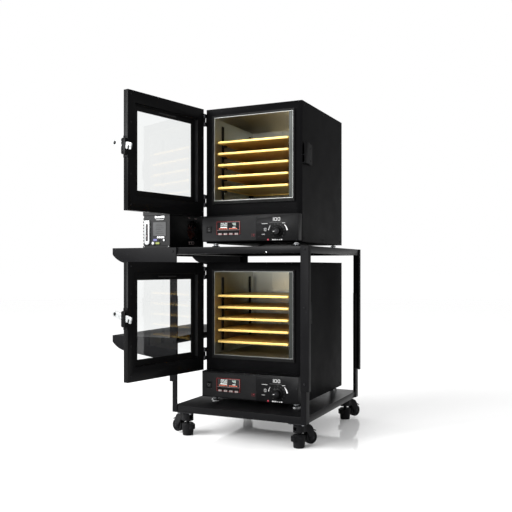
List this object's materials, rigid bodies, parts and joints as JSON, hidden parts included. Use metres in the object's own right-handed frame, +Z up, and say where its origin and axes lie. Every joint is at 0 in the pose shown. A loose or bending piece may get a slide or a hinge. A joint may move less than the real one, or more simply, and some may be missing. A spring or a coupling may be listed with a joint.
{
  "type": "two tier drying cabinet station",
  "caption": "Stacked heated drying cabinets with glass doors and gold slide-out shelves on a wheeled rack with side shelves and a purge controller.",
  "frame": {"origin": "on the floor, under the middle of the bounding box of the station with its doors open", "axes": "+Z up, the cabinets open towards -Y, +X to the right of someone facing the doors"},
  "size_m": [0.7794, 0.8717, 1.185],
  "materials": {
    "tray_black": "gloss",
    "rack_black": "satin",
    "caster_steel": "dark zinc",
    "chrome": "polished",
    "hinge_steel": "dark satin",
    "rail_dark": "satin",
    "seal_rubber": "matte",
    "caster_body": "satin",
    "wheel_black": "satin",
    "foot_rubber": "satin",
    "case_black": "fine satin",
    "stainless": "brushed",
    "panel_black": "gloss",
    "key_grey": "satin",
    "knob_black": "gloss",
    "switch_black": "gloss",
    "gold_shelf": "gold anodised",
    "door_black": "fine satin",
    "door_glass": "clear",
    "purge_grey": "satin",
    "tube_white": "gloss",
    "fan_copper": "satin",
    "button_yellow": "gloss",
    "brass": "plain"
  },
  "bodies": {
    "station": {"base_tray": "tray_black", "base_legs": "rack_black", "deck_tray": "tray_black", "deck_legs": "rack_black", "side_shelf_low": "rack_black", "side_shelf_high": "rack_black", "caster_plates": "caster_steel", "cabinet_feet": "chrome", "hinge_brackets": "hinge_steel", "latch_keepers": "rack_black", "shelf_rails": "rail_dark", "door_seals": "seal_rubber", "rear_covers": "case_black", "power_inlets": "switch_black", "inlet_pins": "brass", "purge_box": "purge_grey", "purge_tube": "tube_white", "low_case": "case_black", "low_chamber": "stainless", "low_panel": "panel_black", "high_case": "case_black", "high_chamber": "stainless", "high_panel": "panel_black"},
    "low_door_leaf": {"low_door": "door_black", "low_glass": "door_glass"},
    "low_latch": {"low_lever": "chrome"},
    "low_shelf_1": {"low_shelf_1": "gold_shelf"},
    "low_shelf_2": {"low_shelf_2": "gold_shelf"},
    "low_shelf_3": {"low_shelf_3": "gold_shelf"},
    "low_shelf_4": {"low_shelf_4": "gold_shelf"},
    "low_shelf_5": {"low_shelf_5": "gold_shelf"},
    "low_key_strip": {"low_keys": "key_grey"},
    "low_set_knob": {"low_knob": "knob_black"},
    "low_rocker": {"low_switch": "switch_black"},
    "high_door_leaf": {"high_door": "door_black", "high_glass": "door_glass"},
    "high_latch": {"high_lever": "chrome"},
    "high_shelf_1": {"high_shelf_1": "gold_shelf"},
    "high_shelf_2": {"high_shelf_2": "gold_shelf"},
    "high_shelf_3": {"high_shelf_3": "gold_shelf"},
    "high_shelf_4": {"high_shelf_4": "gold_shelf"},
    "high_shelf_5": {"high_shelf_5": "gold_shelf"},
    "high_key_strip": {"high_keys": "key_grey"},
    "high_set_knob": {"high_knob": "knob_black"},
    "high_rocker": {"high_switch": "switch_black"},
    "caster_fr": {"housing_fr": "caster_body"},
    "caster_wheel_fr": {"wheel_fr": "wheel_black"},
    "levelling_foot_fr": {"foot_fr": "foot_rubber"},
    "caster_fl": {"housing_fl": "caster_body"},
    "caster_wheel_fl": {"wheel_fl": "wheel_black"},
    "levelling_foot_fl": {"foot_fl": "foot_rubber"},
    "caster_rr": {"housing_rr": "caster_body"},
    "caster_wheel_rr": {"wheel_rr": "wheel_black"},
    "levelling_foot_rr": {"foot_rr": "foot_rubber"},
    "caster_rl": {"housing_rl": "caster_body"},
    "caster_wheel_rl": {"wheel_rl": "wheel_black"},
    "levelling_foot_rl": {"foot_rl": "foot_rubber"},
    "fan_rotor": {"purge_fan": "fan_copper"},
    "purge_dial": {"purge_knob": "tube_white"},
    "purge_key": {"purge_button": "button_yellow"}
  },
  "joints": [
    {"name": "low_door_hinge", "type": "hinge", "parent": "station", "child": "low_door_leaf", "pos_m": [-0.0677, -0.04795, 0.2254], "axis": [0, 0, -1], "range_deg": [-101.6, 0]},
    {"name": "low_latch_pivot", "type": "hinge", "parent": "low_door_leaf", "child": "low_latch", "pos_m": [-0.15418, -0.427, 0.439], "axis": [-0.2011, -0.9796, 0], "range_deg": [0, 32]},
    {"name": "low_shelf_1_slide", "type": "slide", "parent": "station", "child": "low_shelf_1", "axis": [0, -1, 0], "range_m": [0, 0.2]},
    {"name": "low_shelf_2_slide", "type": "slide", "parent": "station", "child": "low_shelf_2", "axis": [0, -1, 0], "range_m": [0, 0.2]},
    {"name": "low_shelf_3_slide", "type": "slide", "parent": "station", "child": "low_shelf_3", "axis": [0, -1, 0], "range_m": [0, 0.2]},
    {"name": "low_shelf_4_slide", "type": "slide", "parent": "station", "child": "low_shelf_4", "axis": [0, -1, 0], "range_m": [0, 0.2]},
    {"name": "low_shelf_5_slide", "type": "slide", "parent": "station", "child": "low_shelf_5", "axis": [0, -1, 0], "range_m": [0, 0.2]},
    {"name": "low_keys_press", "type": "slide", "parent": "station", "child": "low_key_strip", "axis": [0, 1, 0], "range_m": [0, 0.0008], "stiffness_N_per_m": 400},
    {"name": "low_knob_turn", "type": "hinge", "parent": "station", "child": "low_set_knob", "pos_m": [0.2388, -0.07244, 0.165], "axis": [0, 1, 0], "range_deg": [0, 270]},
    {"name": "low_switch_rock", "type": "hinge", "parent": "station", "child": "low_rocker", "pos_m": [-0.0337, -0.06845, 0.176], "axis": [-1, 0, 0], "range_deg": [0, 12]},
    {"name": "high_door_hinge", "type": "hinge", "parent": "station", "child": "high_door_leaf", "pos_m": [-0.0677, -0.04795, 0.7894], "axis": [0, 0, -1], "range_deg": [-101.6, 18]},
    {"name": "high_latch_pivot", "type": "hinge", "parent": "high_door_leaf", "child": "high_latch", "pos_m": [-0.15418, -0.427, 1.003], "axis": [-0.2011, -0.9796, 0], "range_deg": [0, 32]},
    {"name": "high_shelf_1_slide", "type": "slide", "parent": "station", "child": "high_shelf_1", "axis": [0, -1, 0], "range_m": [0, 0.2]},
    {"name": "high_shelf_2_slide", "type": "slide", "parent": "station", "child": "high_shelf_2", "axis": [0, -1, 0], "range_m": [0, 0.2]},
    {"name": "high_shelf_3_slide", "type": "slide", "parent": "station", "child": "high_shelf_3", "axis": [0, -1, 0], "range_m": [0, 0.2]},
    {"name": "high_shelf_4_slide", "type": "slide", "parent": "station", "child": "high_shelf_4", "axis": [0, -1, 0], "range_m": [0, 0.2]},
    {"name": "high_shelf_5_slide", "type": "slide", "parent": "station", "child": "high_shelf_5", "axis": [0, -1, 0], "range_m": [0, 0.2]},
    {"name": "high_keys_press", "type": "slide", "parent": "station", "child": "high_key_strip", "axis": [0, 1, 0], "range_m": [0, 0.0008], "stiffness_N_per_m": 400},
    {"name": "high_knob_turn", "type": "hinge", "parent": "station", "child": "high_set_knob", "pos_m": [0.2388, -0.07244, 0.729], "axis": [0, 1, 0], "range_deg": [0, 270]},
    {"name": "high_switch_rock", "type": "hinge", "parent": "station", "child": "high_rocker", "pos_m": [-0.0337, -0.06845, 0.74], "axis": [-1, 0, 0], "range_deg": [0, 12]},
    {"name": "swivel_fr", "type": "hinge", "parent": "station", "child": "caster_fr", "pos_m": [0.3387, -0.12604, 0.079], "axis": [0, 0, 1], "continuous": true},
    {"name": "roll_fr", "type": "hinge", "parent": "caster_fr", "child": "caster_wheel_fr", "pos_m": [0.3627, -0.08448, 0.0295], "axis": [-0.866, 0.5, 0], "continuous": true},
    {"name": "level_fr", "type": "slide", "parent": "caster_fr", "child": "levelling_foot_fr", "axis": [0, 0, 1], "range_m": [0, 0.008]},
    {"name": "swivel_fl", "type": "hinge", "parent": "station", "child": "caster_fl", "pos_m": [-0.0913, -0.12604, 0.079], "axis": [0, 0, 1], "continuous": true},
    {"name": "roll_fl", "type": "hinge", "parent": "caster_fl", "child": "caster_wheel_fl", "pos_m": [-0.13766, -0.11362, 0.0295], "axis": [-0.2588, -0.9659, 0], "continuous": true},
    {"name": "level_fl", "type": "slide", "parent": "caster_fl", "child": "levelling_foot_fl", "axis": [0, 0, 1], "range_m": [0, 0.008]},
    {"name": "swivel_rr", "type": "hinge", "parent": "station", "child": "caster_rr", "pos_m": [0.3387, 0.36995, 0.079], "axis": [0, 0, 1], "continuous": true},
    {"name": "roll_rr", "type": "hinge", "parent": "caster_rr", "child": "caster_wheel_rr", "pos_m": [0.3627, 0.41152, 0.0295], "axis": [-0.866, 0.5, 0], "continuous": true},
    {"name": "level_rr", "type": "slide", "parent": "caster_rr", "child": "levelling_foot_rr", "axis": [0, 0, 1], "range_m": [0, 0.008]},
    {"name": "swivel_rl", "type": "hinge", "parent": "station", "child": "caster_rl", "pos_m": [-0.0913, 0.36995, 0.079], "axis": [0, 0, 1], "continuous": true},
    {"name": "roll_rl", "type": "hinge", "parent": "caster_rl", "child": "caster_wheel_rl", "pos_m": [-0.1153, 0.41152, 0.0295], "axis": [-0.866, -0.5, 0], "continuous": true},
    {"name": "level_rl", "type": "slide", "parent": "caster_rl", "child": "levelling_foot_rl", "axis": [0, 0, 1], "range_m": [0, 0.008]},
    {"name": "fan_spin", "type": "hinge", "parent": "station", "child": "fan_rotor", "pos_m": [-0.1687, 0.02355, 0.745], "axis": [1, 0, 0], "continuous": true},
    {"name": "purge_dial_turn", "type": "hinge", "parent": "station", "child": "purge_dial", "pos_m": [-0.2297, -0.13845, 0.691], "axis": [0, -1, 0], "range_deg": [0, 270]},
    {"name": "purge_key_press", "type": "slide", "parent": "station", "child": "purge_key", "axis": [0, 1, 0], "range_m": [0, 0.002], "stiffness_N_per_m": 300}
  ]
}
